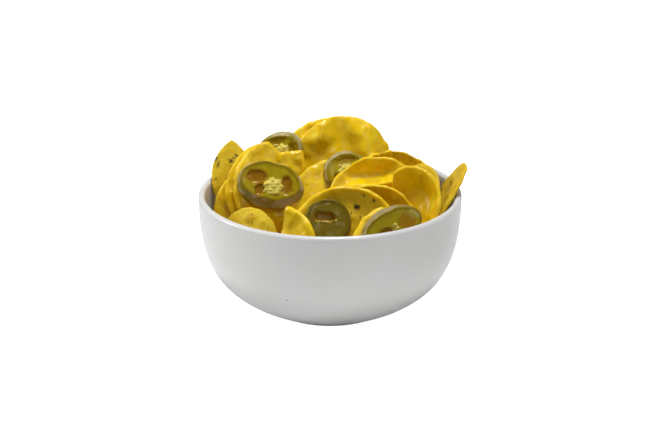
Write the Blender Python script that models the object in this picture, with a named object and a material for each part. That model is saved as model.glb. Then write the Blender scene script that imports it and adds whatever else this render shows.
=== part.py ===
"""A bowl of nachos: a white bowl heaped with round corn chips and slices of jalapeno.

Millimetres are used throughout and turned into metres where a mesh is made. The origin is
the centre of the bowl's flat foot, +Z is up and -Y is the front.
"""

import math

import bmesh
import bpy
import numpy as np
from mathutils import Matrix, Vector

MM = 0.001
GAP = 0.4

# The bowl: a turned wall of even thickness with a round lip, on a flat foot.
RIM_RADIUS = 75.0
RIM_HEIGHT = 68.5
FOOT_RADIUS = 36.5
WALL = 4.0
FLOOR = 4.6
FOOT_EDGE = 0.8
BELLY_SLOPE = math.radians(24)
BELLY_REACH = 31.0
SIDE_REACH = 41.0
BOWL_SEGMENTS = 48
SIDE_STEPS = 8
LIP_STEPS = 4

# A whole corn chip.
CHIP_HALF = (29.0, 29.0)
CHIP_THICKNESS = 2.4
CHIP_SEGMENTS = 20
CHIP_RINGS = (0.36, 0.7, 0.965)

# The heap under the chips that show.
MOUND_TOP = 58.0
MOUND_SIDE = 44.0
MOUND_SHOULDER = 24.0
MOUND_RINGS = 9
MOUND_SEGMENTS = 30

# A slice of jalapeno. Its wall and core are shares of its half width.
SLICE_SEGMENTS = 22
SLICE_THICKNESS = 4.4
SLICE_WALL = 0.27
SLICE_CORE = 0.32
THREE_CHAMBERS = ((-48, 52), (72, 202), (222, 292))
TWO_CHAMBERS = ((-58, 66), (104, 236))

# Each chip: its centre, the way its face looks (degrees round from the front towards +X, and
# degrees up), how far its rim curls towards that way along and across, a wave, and its breaks.
CHIPS = {
    "chip_front_lower": dict(
        at=(-25, -47.8, 56.8), facing=(-35, 21),
        cup=(0, 0), half=(21, 18), breaks=((-90, 14), (180, 2),),
    ),
    "chip_front_right": dict(
        at=(33.6, -50.9, 51.5), facing=(24, 30),
        cup=(0, 0), half=(23.5, 24), breaks=((-90, 6), (0, 14),),
    ),
    "chip_front_left": dict(at=(-46, -32, 51.1), facing=(-26, 23), cup=(-2, -2), half=(18, 18)),
    "chip_front_wide": dict(at=(8.5, -36.6, 52.4), facing=(1, 30), cup=(4, 1), half=(30.5, 29)),
    "chip_front_upper": dict(at=(23.2, -26.8, 49.2), facing=(-8, 32), cup=(4, 3), breaks=((-90, 18),)),
    "chip_right_curled": dict(
        at=(46, -18, 64.4), facing=(-20, 28),
        cup=(3, 4), half=(18, 22), breaks=((-90, 16), (175, 13),),
    ),
    "chip_right_rear": dict(at=(27, -11.5, 62.2), facing=(2, 35), cup=(-2, 0)),
    "chip_centre": dict(at=(5.1, -2.2, 58.4), facing=(9, 30), cup=(-2, -1)),
    "chip_left_shard": dict(
        at=(-21.8, 9.6, 82.4), facing=(16, 19),
        cup=(0, 0), half=(7.5, 12), breaks=((93, 6),),
    ),
    "chip_left_inner": dict(
        at=(-26.5, 6.2, 67.3), facing=(18, 17),
        cup=(-3, -2), breaks=((39, 12.9), (75, 24.5),),
    ),
    "chip_left_middle": dict(
        at=(-32.8, 7.1, 65.2), facing=(15, 17),
        cup=(-3, -2), breaks=((39, 18),),
    ),
    "chip_left_low": dict(
        at=(-47.4, 5.2, 52.6), facing=(2, 15),
        cup=(-1.7, -1.2), half=(19.6, 24), breaks=((0, 8),),
    ),
    "chip_right_bare": dict(
        at=(46.2, 0.3, 57.6), facing=(-38, 33),
        cup=(0.5, 0), half=(18, 27), breaks=((-90, 18),),
    ),
    "chip_right_back": dict(at=(36.2, 13.4, 57.1), facing=(-7, 26), cup=(1, 0), breaks=((-10, 20),)),
    "chip_right_leaning": dict(
        at=(64, 2, 58), facing=(-89, 29),
        cup=(1.5, 0.5), half=(17, 29), breaks=((-90, 22),),
    ),
    "chip_left_outer": dict(
        at=(-41.2, 15.2, 71.4), facing=(0, 21),
        cup=(-2, -2), half=(28, 27), breaks=((43, 4),),
    ),
    "chip_back_tall": dict(at=(8.2, 25.8, 74.7), facing=(7, 17), cup=(-3, -2), wave=(-1.2, 2)),
    "chip_back_left": dict(at=(-1, 29.5, 71.5), facing=(6, 14), cup=(-2, -2)),
    "chip_rear_upright": dict(at=(2.9, 44.2, 53.9), facing=(180, 11), cup=(-3, -2)),
    "chip_rear_left": dict(at=(-37.1, 44.4, 62.8), facing=(211, 26), cup=(-3, -2), breaks=((-90, 14),)),
    "chip_rear_right": dict(at=(30, 49.5, 52.9), facing=(155, 18), cup=(-3, -2), breaks=((-90, 14),)),
    "chip_rear_middle": dict(at=(7.2, 59.9, 65.2), facing=(173, 37), cup=(-3, -1), breaks=((-90, 12),)),
}

# Each slice: its centre, facing, half length, half width, turn of its length, and chambers.
SLICES = {
    "jalapeno_front": dict(
        at=(-1.2, -37.4, 63.3), facing=(8, 34),
        half=(13.5, 13), turn=0, chambers=TWO_CHAMBERS,
    ),
    "jalapeno_right": dict(
        at=(33.4, -50.9, 65.7), facing=(16, 36),
        half=(19, 11.5), turn=22, chambers=TWO_CHAMBERS,
    ),
    "jalapeno_left": dict(at=(-34, -2, 72.6), facing=(3, 27), half=(19.5, 13.5), turn=-12),
    "jalapeno_middle": dict(at=(10, 5.7, 78.3), facing=(7, 33), half=(13.5, 12.5), turn=0),
    "jalapeno_back": dict(at=(-28.6, 23.7, 84.2), facing=(4, 18), half=(13.7, 11.5), turn=20),
    "jalapeno_rear_left": dict(at=(-34.4, 45.8, 72.2), facing=(210, 30), half=(15, 13), turn=10),
    "jalapeno_rear_right": dict(
        at=(14, 57.9, 73), facing=(168, 38),
        half=(14, 12), turn=30, chambers=TWO_CHAMBERS,
    ),
}

CERAMIC = ("ceramic", (0.78, 0.78, 0.77), 0.35)
CORN = ("chip", (0.72, 0.47, 0.06), 0.6)
CHEESE = ("cheese", (0.66, 0.40, 0.02), 0.5)
PEPPER = ("jalapeno", (0.24, 0.21, 0.04), 0.3)


def material(finish):
    """The material of that name, made the first time it is asked for."""
    name, colour, roughness = finish
    found = bpy.data.materials.get(name)
    if found:
        return found
    made = bpy.data.materials.new(name)
    made.use_nodes = True
    shader = made.node_tree.nodes["Principled BSDF"]
    shader.inputs["Base Color"].default_value = (*colour, 1.0)
    shader.inputs["Roughness"].default_value = roughness
    return made


def add_object(name, bm, finish, matrix=None):
    """Turns a bmesh in millimetres into an object in metres, smooth apart from its hard edges."""
    bmesh.ops.recalc_face_normals(bm, faces=bm.faces)
    if bm.calc_volume(signed=True) < 0:
        bmesh.ops.reverse_faces(bm, faces=bm.faces)
    mesh = bpy.data.meshes.new(name)
    bm.transform(Matrix.Scale(MM, 4))
    bm.to_mesh(mesh)
    bm.free()
    mesh.shade_smooth()
    mesh.set_sharp_from_angle(angle=math.radians(50))
    mesh.materials.append(material(finish))
    obj = bpy.data.objects.new(name, mesh)
    if matrix is not None:
        placed = matrix.copy()
        placed.translation = matrix.translation * MM
        obj.matrix_world = placed
    bpy.context.scene.collection.objects.link(obj)
    return obj


def placement(at, facing, turn=0.0):
    """The matrix that puts a flat piece's centre at `at` with its face looking along `facing`."""
    around, up = (math.radians(angle) for angle in facing)
    normal = Vector((math.sin(around) * math.cos(up), -math.cos(around) * math.cos(up), math.sin(up)))
    level = Vector((math.cos(around), math.sin(around), 0.0))
    upright = normal.cross(level)
    axes = Matrix((level, upright, normal)).transposed()
    return Matrix.Translation(at) @ axes.to_4x4() @ Matrix.Rotation(math.radians(turn), 4, "Z")


def outer_side(steps):
    """The outside of the wall from foot to rim, a cubic curve that ends upright."""
    t = np.linspace(0.0, 1.0, steps + 1)[:, None]
    foot = np.array((FOOT_RADIUS, FOOT_EDGE))
    belly = foot + BELLY_REACH * np.array((math.cos(BELLY_SLOPE), math.sin(BELLY_SLOPE)))
    rim = np.array((RIM_RADIUS, RIM_HEIGHT - WALL / 2))
    side = rim - np.array((0.0, SIDE_REACH))
    return (1 - t) ** 3 * foot + 3 * (1 - t) ** 2 * t * belly + 3 * (1 - t) * t**2 * side + t**3 * rim


def inner_side(steps):
    """The inside of the wall from rim to floor: the outside moved in by the wall's thickness."""
    outside = outer_side(steps)
    along = np.gradient(outside, axis=0)
    along /= np.linalg.norm(along, axis=1)[:, None]
    inside = outside + WALL * np.stack((-along[:, 1], along[:, 0]), axis=1)
    inside[-1] = (RIM_RADIUS - WALL, RIM_HEIGHT - WALL / 2)
    return inside[inside[:, 1] > FLOOR][::-1]


def lip():
    """The half circle that joins the outside of the wall to the inside, without its two ends."""
    angles = np.linspace(0.0, math.pi, LIP_STEPS + 1)[1:-1]
    middle = np.array((RIM_RADIUS - WALL / 2, RIM_HEIGHT - WALL / 2))
    return middle + WALL / 2 * np.stack((np.cos(angles), np.sin(angles)), axis=1)


def make_bowl():
    """Spins the bowl's profile, from the middle of the foot round to the middle of the floor."""
    inside = inner_side(SIDE_STEPS)
    profile = [
        (0.0, 0.0),
        (FOOT_RADIUS - FOOT_EDGE, 0.0),
        *outer_side(SIDE_STEPS),
        *lip(),
        *inside,
        (inside[-1][0] - FLOOR, FLOOR),
        (0.0, FLOOR),
    ]
    bm = bmesh.new()
    points = [bm.verts.new((r, 0.0, z)) for r, z in profile]
    edges = [bm.edges.new(pair) for pair in zip(points, points[1:])]
    bmesh.ops.spin(
        bm, geom=points + edges, axis=(0, 0, 1), cent=(0, 0, 0), angle=math.tau, steps=BOWL_SEGMENTS
    )
    bmesh.ops.remove_doubles(bm, verts=bm.verts, dist=0.01)
    return add_object("bowl", bm, CERAMIC)


def join_rings(bm, rings):
    """Faces between each ring of points and the next."""
    for first, second in zip(rings, rings[1:]):
        for i in range(len(first)):
            bm.faces.new((first[i - 1], first[i], second[i], second[i - 1]))


def close_ring(bm, ring, centre):
    """A fan of faces from a ring of points to one point."""
    point = bm.verts.new(centre)
    for i in range(len(ring)):
        bm.faces.new((ring[i - 1], ring[i], point))


def chip_outline(angle, half, breaks):
    """How far the rim is from the centre at each angle: an ellipse cut by straight breaks."""
    reach = 1 / np.hypot(np.cos(angle) / half[0], np.sin(angle) / half[1])
    for towards, distance in breaks:
        facing = np.maximum(np.cos(angle - math.radians(towards)), 0.05)
        reach = np.minimum(reach, distance / facing)
    return reach


def chip_height(u, v, half, cup, wave):
    """How far the chip's middle layer stands off its flat plane: a curl each way and a wave."""
    height, count = wave
    curl = cup[0] * (u / half[0]) ** 2 + cup[1] * (v / half[1]) ** 2
    return curl + height * np.cos(math.pi * count * u / half[0])


def make_chip(name, at, facing, cup, wave=(0.0, 0.0), turn=0.0, half=CHIP_HALF, breaks=()):
    """A curled disc, closed by a rounded rim. Its two skins are rings of points."""
    angles = np.arange(CHIP_SEGMENTS) / CHIP_SEGMENTS * math.tau
    reach = chip_outline(angles, half, breaks)
    skin = CHIP_THICKNESS / 2
    bm = bmesh.new()

    def ring(share, lift):
        u, v = share * reach * np.cos(angles), share * reach * np.sin(angles)
        w = chip_height(u, v, half, cup, wave) + lift
        return [bm.verts.new(point) for point in zip(u, v, w)]

    rings = [ring(share, skin) for share in CHIP_RINGS]
    rings.append(ring(1.0, 0.0))
    rings += [ring(share, -skin) for share in reversed(CHIP_RINGS)]
    join_rings(bm, rings)
    middle = chip_height(0.0, 0.0, half, cup, wave)
    close_ring(bm, rings[0], (0.0, 0.0, middle + skin))
    close_ring(bm, rings[-1], (0.0, 0.0, middle - skin))
    return add_object(name, bm, CORN, placement(at, facing, turn))


def chamber_outline(start, end):
    """A seed chamber between two angles, for a slice one unit in radius."""
    outer = np.radians(np.linspace(start, end, 5))
    inner = np.radians(np.linspace(end - 8, start + 8, 3))
    reach = np.concatenate((np.full(5, 1 - SLICE_WALL), np.full(3, SLICE_CORE)))
    reach[[0, 4]] -= 0.06
    angles = np.concatenate((outer, inner))
    return np.stack((reach * np.cos(angles), reach * np.sin(angles)), axis=1)


def make_slice(name, at, facing, half, turn, chambers=THREE_CHAMBERS):
    """A slice of pepper: a wall with chambers cut through it round a core of seeds."""
    angles = np.arange(SLICE_SEGMENTS) / SLICE_SEGMENTS * math.tau
    loops = [np.stack((np.cos(angles), np.sin(angles)), axis=1)]
    loops += [chamber_outline(start, end) for start, end in chambers]
    bm = bmesh.new()
    for loop in loops:
        points = [bm.verts.new((half[0] * x, half[1] * y, -SLICE_THICKNESS / 2)) for x, y in loop]
        for i, point in enumerate(points):
            bm.edges.new((points[i - 1], point))
    bmesh.ops.triangle_fill(bm, edges=bm.edges[:], use_beauty=True, use_dissolve=False)
    grown = bmesh.ops.extrude_face_region(bm, geom=bm.faces[:])
    moved = [part for part in grown["geom"] if isinstance(part, bmesh.types.BMVert)]
    bmesh.ops.translate(bm, verts=moved, vec=(0, 0, SLICE_THICKNESS))
    return add_object(name, bm, PEPPER, placement(at, facing, turn))


def make_mound(pieces):
    """The hidden chips and sauce as one solid that fills the bowl and stays under every piece."""
    inside = inner_side(SIDE_STEPS)[::-1]
    wall_r, wall_z = inside[:, 0] - GAP, inside[:, 1] + GAP
    angles = np.arange(MOUND_SEGMENTS) / MOUND_SEGMENTS * math.tau
    corners = [np.array([obj.matrix_world @ v.co for v in obj.data.vertices]) for obj in pieces]
    above = np.concatenate(corners) / MM
    top_radius = np.interp(MOUND_SIDE, wall_z, wall_r) - GAP
    reach = 1.6 * top_radius / MOUND_RINGS

    def top_point(share, angle):
        r = share * top_radius
        x, y = r * math.cos(angle), r * math.sin(angle)
        height = MOUND_TOP + (MOUND_SIDE - MOUND_TOP) * share**2
        near = above[np.hypot(above[:, 0] - x, above[:, 1] - y) < reach]
        height = min([height, *(near[:, 2] - GAP)])
        r = min(r, np.interp(height, wall_z, wall_r) - GAP)
        return (r * math.cos(angle), r * math.sin(angle), height)

    bm = bmesh.new()
    shares = np.linspace(0.0, 1.0, MOUND_RINGS + 1)[1:]
    rings = [[bm.verts.new(top_point(share, a)) for a in angles] for share in shares]
    for r, z in reversed([pair for pair in zip(wall_r, wall_z) if pair[1] < MOUND_SHOULDER]):
        rings.append([bm.verts.new((r * math.cos(a), r * math.sin(a), z)) for a in angles])
    join_rings(bm, rings)
    close_ring(bm, rings[0], top_point(0.0, 0.0))
    close_ring(bm, rings[-1], (0.0, 0.0, FLOOR + GAP))
    return add_object("chips_beneath", bm, CHEESE)


def main():
    for obj in list(bpy.data.objects):
        bpy.data.objects.remove(obj, do_unlink=True)
    make_bowl()
    chips = [make_chip(name, **values) for name, values in CHIPS.items()]
    slices = [make_slice(name, **values) for name, values in SLICES.items()]
    bpy.context.view_layer.update()
    make_mound(chips + slices)


main()
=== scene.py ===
import math

import bpy
import numpy as np
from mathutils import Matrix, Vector


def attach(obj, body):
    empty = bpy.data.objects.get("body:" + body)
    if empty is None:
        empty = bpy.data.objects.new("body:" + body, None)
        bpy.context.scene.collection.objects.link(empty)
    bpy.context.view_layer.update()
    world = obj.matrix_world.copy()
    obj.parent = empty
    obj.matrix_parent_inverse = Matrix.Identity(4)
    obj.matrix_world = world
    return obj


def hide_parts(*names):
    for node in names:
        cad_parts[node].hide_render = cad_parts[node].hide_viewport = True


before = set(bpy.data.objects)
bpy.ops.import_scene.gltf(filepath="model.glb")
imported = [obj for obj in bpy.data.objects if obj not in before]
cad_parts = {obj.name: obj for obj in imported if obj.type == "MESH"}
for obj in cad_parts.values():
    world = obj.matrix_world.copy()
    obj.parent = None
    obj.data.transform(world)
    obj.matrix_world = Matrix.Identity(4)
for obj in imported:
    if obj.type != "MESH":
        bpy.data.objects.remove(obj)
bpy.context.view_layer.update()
mm = 0.001
print("frame loaded")


# Nought below low, one above high, an S curve between.
def ease(value, low, high):
    t = np.clip((value - low) / (high - low), 0.0, 1.0)
    return t * t * (3 - 2 * t)


# Sum of cosine waves in random directions, about one unit strong and `length` long.
def ripples(points, length, seed, count=10):
    random = np.random.default_rng(seed)
    directions = random.normal(size=(count, points.shape[-1]))
    directions /= np.linalg.norm(directions, axis=1)[:, None]
    pace = math.tau / length * random.uniform(0.6, 1.5, count)
    phase = random.uniform(0, math.tau, count)
    return np.cos(points @ (directions * pace[:, None]).T + phase).sum(-1) / math.sqrt(count / 2)


# Round bumps with soft feet: for each centre, height times (1 - distance squared / radius squared) squared.
def domes(u, v, centres):
    total = np.zeros_like(u)
    for cu, cv, radius, height in centres:
        near = np.clip(1 - ((u - cu) ** 2 + (v - cv) ** 2) / radius**2, 0, 1)
        total += height * near**2
    return total


# The centre of a flat piece and its level, upright and face directions as rows.
def poseOf(values):
    around, up = np.radians(values["facing"])
    normal = np.array((math.sin(around) * math.cos(up), -math.cos(around) * math.cos(up), math.sin(up)))
    level = np.array((math.cos(around), math.sin(around), 0.0))
    upright = np.cross(normal, level)
    turn = math.radians(values.get("turn", 0.0))
    along = level * math.cos(turn) + upright * math.sin(turn)
    across = upright * math.cos(turn) - level * math.sin(turn)
    return np.array(values["at"], float), np.array((along, across, normal))


def toWorld(values, u, v, w):
    at, axes = poseOf(values)
    return at + np.stack((u, v, w), -1) @ axes


def toLocal(values, points):
    at, axes = poseOf(values)
    local = (points - at) @ axes.T
    return local[:, 0], local[:, 1], local[:, 2]


# One mesh from grids of points in millimetres. Columns close on themselves, and rows either
# close too (a ring) or end on a pole point.
def gridMesh(name, grids, ring=False, attributes=None):
    points, faces, start = [], [], 0
    for grid in grids:
        rows, columns = grid.shape[:2]
        index = start + np.arange(rows * columns).reshape(rows, columns)
        if ring:
            index = np.concatenate((index, index[:1]))
        following = np.roll(index, -1, axis=1)
        quads = np.stack((index[:-1], index[1:], following[1:], following[:-1]), -1)
        faces += quads.reshape(-1, 4).tolist()
        points.append(grid.reshape(-1, 3))
        start += rows * columns
        if not ring:
            first, last = np.full(columns, start), np.full(columns, start + 1)
            faces += np.stack((first, index[0], following[0]), -1).tolist()
            faces += np.stack((index[-1], last, following[-1]), -1).tolist()
            points += [grid[0].mean(0)[None], grid[-1].mean(0)[None]]
            start += 2
    mesh = bpy.data.meshes.new(name)
    mesh.from_pydata(np.concatenate(points) * mm, [], faces)
    mesh.update()
    mesh.shade_smooth()
    for key, values in (attributes or {}).items():
        setAttribute(mesh, key, values)
    return mesh


def setAttribute(mesh, key, values):
    attribute = mesh.attributes.new(key, "FLOAT", "POINT")
    attribute.data.foreach_set("value", np.asarray(values, np.float32).ravel())


# A value for every point of a grid, with the two pole points after it.
def withPoles(grid):
    return np.concatenate((grid.ravel(), [grid[0].mean(), grid[-1].mean()]))


def addPiece(name, mesh, finish, slot, *replaced):
    piece = bpy.data.objects.new(name, mesh)
    bpy.context.scene.collection.objects.link(piece)
    mesh.materials.clear()
    mesh.materials.append(finish)
    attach(piece, "root")
    if replaced:
        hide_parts(*replaced)
    return piece


# Fuses overlapping closed forms to one skin, less what `cutter` takes away: voxels, smoothing, then the
# skin moved in by `inset`, which leaves a fillet in every crease, and fewer faces where it is flat.
def fuse(mesh, voxel, inset=0.0, smooth=6, keep=1.0, cutter=None):
    holder, knife = bpy.data.objects.new("fusing", mesh), bpy.data.objects.new("knife", cutter)
    bpy.context.scene.collection.objects.link(holder)
    if cutter:
        bpy.context.scene.collection.objects.link(knife)
        cut = holder.modifiers.new("cut", "BOOLEAN")
        cut.operation, cut.solver, cut.object = "DIFFERENCE", "EXACT", knife
    remesh = holder.modifiers.new("voxels", "REMESH")
    remesh.mode = "VOXEL"
    remesh.voxel_size = voxel * mm
    remesh.use_smooth_shade = True
    soften = holder.modifiers.new("soften", "SMOOTH")
    soften.factor = 0.5
    soften.iterations = smooth
    if inset:
        shrink = holder.modifiers.new("shrink", "DISPLACE")
        shrink.mid_level = 0.0
        shrink.strength = -inset * mm
        settle = holder.modifiers.new("settle", "SMOOTH")
        settle.factor = 0.5
        settle.iterations = 2
    if keep < 1.0:
        thin = holder.modifiers.new("thin", "DECIMATE")
        thin.ratio = keep
    bpy.context.view_layer.update()
    shown = holder.evaluated_get(bpy.context.evaluated_depsgraph_get())
    fused = bpy.data.meshes.new_from_object(shown)
    fused.name = mesh.name
    bpy.data.objects.remove(holder)
    bpy.data.objects.remove(knife)
    fused.shade_smooth()
    return fused


def pointsOf(mesh):
    flat = np.empty(len(mesh.vertices) * 3, np.float32)
    mesh.vertices.foreach_get("co", flat)
    return flat.reshape(-1, 3).astype(float) / mm


def newMaterial(name):
    made = bpy.data.materials.new(name)
    made.use_nodes = True
    return made, made.node_tree, made.node_tree.nodes["Principled BSDF"]


def addNode(tree, kind, inputs=None, **settings):
    node = tree.nodes.new(kind)
    for key, value in settings.items():
        setattr(node, key, value)
    for key, value in (inputs or {}).items():
        if isinstance(value, bpy.types.NodeSocket):
            tree.links.new(value, node.inputs[key])
        else:
            node.inputs[key].default_value = value
    return node


def noise(tree, vector, perMillimetre, detail=2.0, roughness=0.5):
    inputs = {"Vector": vector, "Scale": perMillimetre / mm, "Detail": detail, "Roughness": roughness}
    return addNode(tree, "ShaderNodeTexNoise", inputs).outputs["Fac"]


def between(tree, value, low, high, toLow=0.0, toHigh=1.0):
    inputs = {"Value": value, "From Min": low, "From Max": high, "To Min": toLow, "To Max": toHigh}
    kind = "ShaderNodeMapRange"
    return addNode(tree, kind, inputs, interpolation_type="SMOOTHSTEP").outputs["Result"]


def mixColour(tree, share, first, second, blend="MIX"):
    node = addNode(tree, "ShaderNodeMix", data_type="RGBA", blend_type=blend)
    for socket, value in zip((node.inputs[0], node.inputs[6], node.inputs[7]), (share, first, second)):
        if isinstance(value, bpy.types.NodeSocket):
            tree.links.new(value, socket)
        else:
            socket.default_value = value if isinstance(value, float) else (*value[:3], 1.0)
    return node.outputs[2]


def calculate(tree, operation, first, second):
    return addNode(tree, "ShaderNodeMath", {0: first, 1: second}, operation=operation).outputs[0]


def readAttribute(tree, key):
    return addNode(tree, "ShaderNodeAttribute", attribute_name=key).outputs["Fac"]


# Grain: fine bumps and a mask of small uneven spots, for any surface.
def grainGroup():
    group = bpy.data.node_groups.new("grain", "ShaderNodeTree")
    for key, value in (("Fine per mm", 1.6), ("Spots per mm", 0.35), ("Spot limit", 0.62)):
        socket = group.interface.new_socket(key, in_out="INPUT", socket_type="NodeSocketFloat")
        socket.default_value = value
    for key in ("Height", "Spots", "Cloud"):
        group.interface.new_socket(key, in_out="OUTPUT", socket_type="NodeSocketFloat")
    given, result = group.nodes.new("NodeGroupInput"), group.nodes.new("NodeGroupOutput")
    place = addNode(group, "ShaderNodeTexCoord").outputs["Object"]
    fineScale = calculate(group, "MULTIPLY", given.outputs[0], 1 / mm)
    spotScale = calculate(group, "MULTIPLY", given.outputs[1], 1 / mm)
    fine = addNode(group, "ShaderNodeTexNoise", {"Vector": place, "Scale": fineScale, "Detail": 3.0})
    coarse = addNode(group, "ShaderNodeTexNoise", {"Vector": place, "Scale": spotScale, "Detail": 3.0})
    cloud = addNode(group, "ShaderNodeTexNoise", {"Vector": place, "Scale": 0.07 / mm, "Detail": 1.0})
    limit = calculate(group, "ADD", given.outputs[2], 0.09)
    spots = addNode(group, "ShaderNodeMapRange", {"Value": coarse.outputs["Fac"],
                    "From Min": given.outputs[2], "From Max": limit}, interpolation_type="SMOOTHSTEP")
    group.links.new(fine.outputs["Fac"], result.inputs[0])
    group.links.new(spots.outputs["Result"], result.inputs[1])
    group.links.new(cloud.outputs["Fac"], result.inputs[2])
    return group


grain = grainGroup()


def addGrain(tree, fine, spots, limit):
    node = addNode(tree, "ShaderNodeGroup", node_tree=grain)
    for key, value in enumerate((fine, spots, limit)):
        node.inputs[key].default_value = value
    return node


def addBump(tree, shader, height, distance, strength=1.0):
    bump = addNode(tree, "ShaderNodeBump", {"Height": height, "Distance": distance * mm, "Strength": strength})
    tree.links.new(bump.outputs["Normal"], shader.inputs["Normal"])
    return bump


bowl = {
    "rimRadius": 75.0, "rimHeight": 68.5, "footRadius": 36.5, "wall": 4.0, "floor": 4.6,
    "footEdge": 0.8, "bellySlope": 24.0, "bellyReach": 31.0, "sideReach": 41.0,
    "columns": 160, "steps": 44, "lipSteps": 10, "recess": 0.7, "footRing": 3.2,
    "glaze": (0.72, 0.72, 0.715), "roughness": 0.3, "speckAt": (-23.05, -65.5, 29.0), "speckSize": 0.55,
}


# The outside from foot to rim, a cubic curve that ends upright.
def bowlOutside(t):
    t = np.asarray(t)[:, None]
    slope = math.radians(bowl["bellySlope"])
    foot = np.array((bowl["footRadius"], bowl["footEdge"]))
    belly = foot + bowl["bellyReach"] * np.array((math.cos(slope), math.sin(slope)))
    rim = np.array((bowl["rimRadius"], bowl["rimHeight"] - bowl["wall"] / 2))
    side = rim - np.array((0.0, bowl["sideReach"]))
    return (1 - t) ** 3 * foot + 3 * (1 - t) ** 2 * t * belly + 3 * (1 - t) * t**2 * side + t**3 * rim


# The inside from rim to floor: the outside moved in by the wall.
def bowlInside(steps):
    outside = bowlOutside(np.linspace(0, 1, steps + 1))
    along = np.gradient(outside, axis=0)
    along /= np.linalg.norm(along, axis=1)[:, None]
    inside = outside + bowl["wall"] * np.stack((-along[:, 1], along[:, 0]), axis=1)
    inside[-1] = (bowl["rimRadius"] - bowl["wall"], bowl["rimHeight"] - bowl["wall"] / 2)
    return inside[inside[:, 1] > bowl["floor"] + 0.6][::-1]


# The profile turned round the upright axis: a recess in the foot, the outside, a half-round lip,
# the inside and the floor, whose corner is a quarter circle.
def makeBowl():
    wall, edge, foot = bowl["wall"], bowl["footEdge"], bowl["footRadius"]
    inside = bowlInside(bowl["steps"])
    inner = foot - edge - bowl["footRing"]
    turn = np.linspace(0, math.pi, bowl["lipSteps"] + 1)[1:-1, None]
    middle = np.array((bowl["rimRadius"] - wall / 2, bowl["rimHeight"] - wall / 2))
    lip = middle + wall / 2 * np.concatenate((np.cos(turn), np.sin(turn)), axis=1)
    bend = np.linspace(0, math.pi / 2, 6)[1:, None]
    last = inside[-1]
    drop = last[1] - bowl["floor"]
    corner = np.array((last[0] - 4 * drop, bowl["floor"])) + np.concatenate(
        (4 * drop * np.cos(bend), drop * (1 - np.sin(bend))), axis=1)
    profile = np.concatenate((
        [(0.4, bowl["recess"]), (inner * 0.5, bowl["recess"]), (inner - 1.2, bowl["recess"])],
        [(inner - 0.3, bowl["recess"] * 0.7), (inner, 0.15), (inner + 0.3, 0.0)],
        [(foot - edge - 0.4, 0.0), (foot - edge * 0.5, 0.12)],
        bowlOutside(np.linspace(0, 1, bowl["steps"] + 1)), lip, inside, corner,
        [(last[0] * 0.6, bowl["floor"]), (last[0] * 0.3, bowl["floor"]), (0.4, bowl["floor"])],
    ))
    angle = -np.arange(bowl["columns"]) / bowl["columns"] * math.tau
    r, z = profile[:, 0, None], profile[:, 1, None]
    grid = np.stack((r * np.cos(angle), r * np.sin(angle), z + 0 * angle), -1)
    return gridMesh("bowlGlazed", [grid])


def glazeMaterial():
    made, tree, shader = newMaterial("whiteGlaze")
    place = addNode(tree, "ShaderNodeTexCoord").outputs["Object"]
    offset = addNode(tree, "ShaderNodeVectorMath", {0: place, 1: [c * mm for c in bowl["speckAt"]]},
                     operation="DISTANCE").outputs["Value"]
    speck = between(tree, offset, bowl["speckSize"] * mm, bowl["speckSize"] * 0.5 * mm)
    soft = between(tree, noise(tree, place, 0.03, 2.0), 0.3, 0.7)
    warm = tuple(c * f for c, f in zip(bowl["glaze"], (0.985, 0.98, 0.965)))
    colour = mixColour(tree, soft, bowl["glaze"], warm)
    tree.links.new(mixColour(tree, speck, colour, (0.08, 0.07, 0.06)), shader.inputs["Base Color"])
    shader.inputs["Roughness"].default_value = bowl["roughness"]
    shader.inputs["IOR"].default_value = 1.5
    shader.inputs["Coat Roughness"].default_value = 0.12
    shader.inputs["Coat Weight"].default_value = 0.25
    addBump(tree, shader, noise(tree, place, 0.05, 2.0), 0.12)
    return made


addPiece("bowlGlazed", makeBowl(), glazeMaterial(), "ceramic", "bowl")
print("bowl made")


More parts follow.
